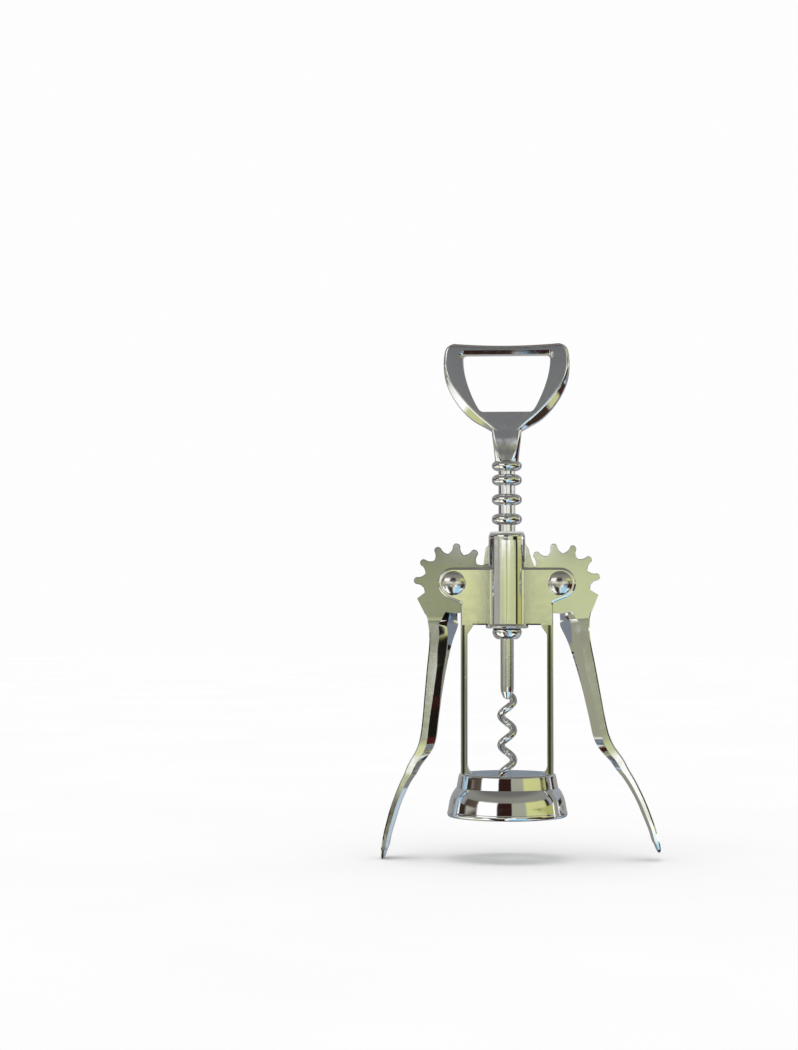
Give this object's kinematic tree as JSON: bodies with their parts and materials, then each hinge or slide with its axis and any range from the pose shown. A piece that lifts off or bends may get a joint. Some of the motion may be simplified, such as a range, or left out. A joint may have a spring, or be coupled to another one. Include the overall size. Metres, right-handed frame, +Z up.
{
  "type": "wing corkscrew",
  "caption": "Wing corkscrew with a bottle opener grip, ringed stem, geared wings, open frame and bell foot.",
  "frame": {"origin": "centre of the bell's lower mouth, in its rim plane", "axes": "+Z up the worm axis towards the grip, X along the wings, -Y the front with the domed rivet heads"},
  "size_m": [0.0974, 0.042, 0.1805],
  "materials": {
    "plated_casting": "bright plated zinc casting",
    "plated_stem": "bright plated",
    "worm_steel": "plated steel wire",
    "rivet_steel": "bright domed rivet",
    "pin_steel": "plain steel",
    "nylon": "natural nylon",
    "liner_plastic": "dark moulded plastic"
  },
  "bodies": {
    "frame": {"frame_casting": "plated_casting", "left_leg": "plated_casting", "right_leg": "plated_casting", "bell": "plated_casting", "bell_liner": "liner_plastic", "left_rivet": "rivet_steel", "right_rivet": "rivet_steel", "left_rivet_cap": "rivet_steel", "right_rivet_cap": "rivet_steel", "left_washers": "pin_steel", "right_washers": "pin_steel"},
    "left_wing": {"left_lever": "plated_casting"},
    "right_wing": {"right_lever": "plated_casting"},
    "bush": {"guide_bush": "nylon"},
    "stem": {"ring_rack": "plated_stem", "opener_handle": "plated_casting", "worm_screw": "worm_steel", "worm_pin": "pin_steel", "handle_pin": "pin_steel"}
  },
  "joints": [
    {"name": "left_wing_hinge", "type": "hinge", "parent": "frame", "child": "left_wing", "pos_m": [-0.01865, 0, 0.0815], "axis": [0, 1, 0], "range_deg": [-3, 105]},
    {"name": "right_wing_hinge", "type": "hinge", "parent": "frame", "child": "right_wing", "pos_m": [0.01865, 0, 0.0815], "axis": [0, -1, 0], "range_deg": [-3, 105]},
    {"name": "handle_spin", "type": "hinge", "parent": "frame", "child": "bush", "pos_m": [0, 0, 0.0988], "axis": [0, 0, 1], "continuous": true},
    {"name": "stem_slide", "type": "slide", "parent": "bush", "child": "stem", "axis": [0, 0, 1], "range_m": [-0.02416, 0.0007]}
  ],
  "couplings": [
    {"joint": "right_wing_hinge", "follows": "left_wing_hinge", "ratio": 1},
    {"joint": "stem_slide", "follows": "left_wing_hinge", "m_per_rad": -0.013178}
  ]
}
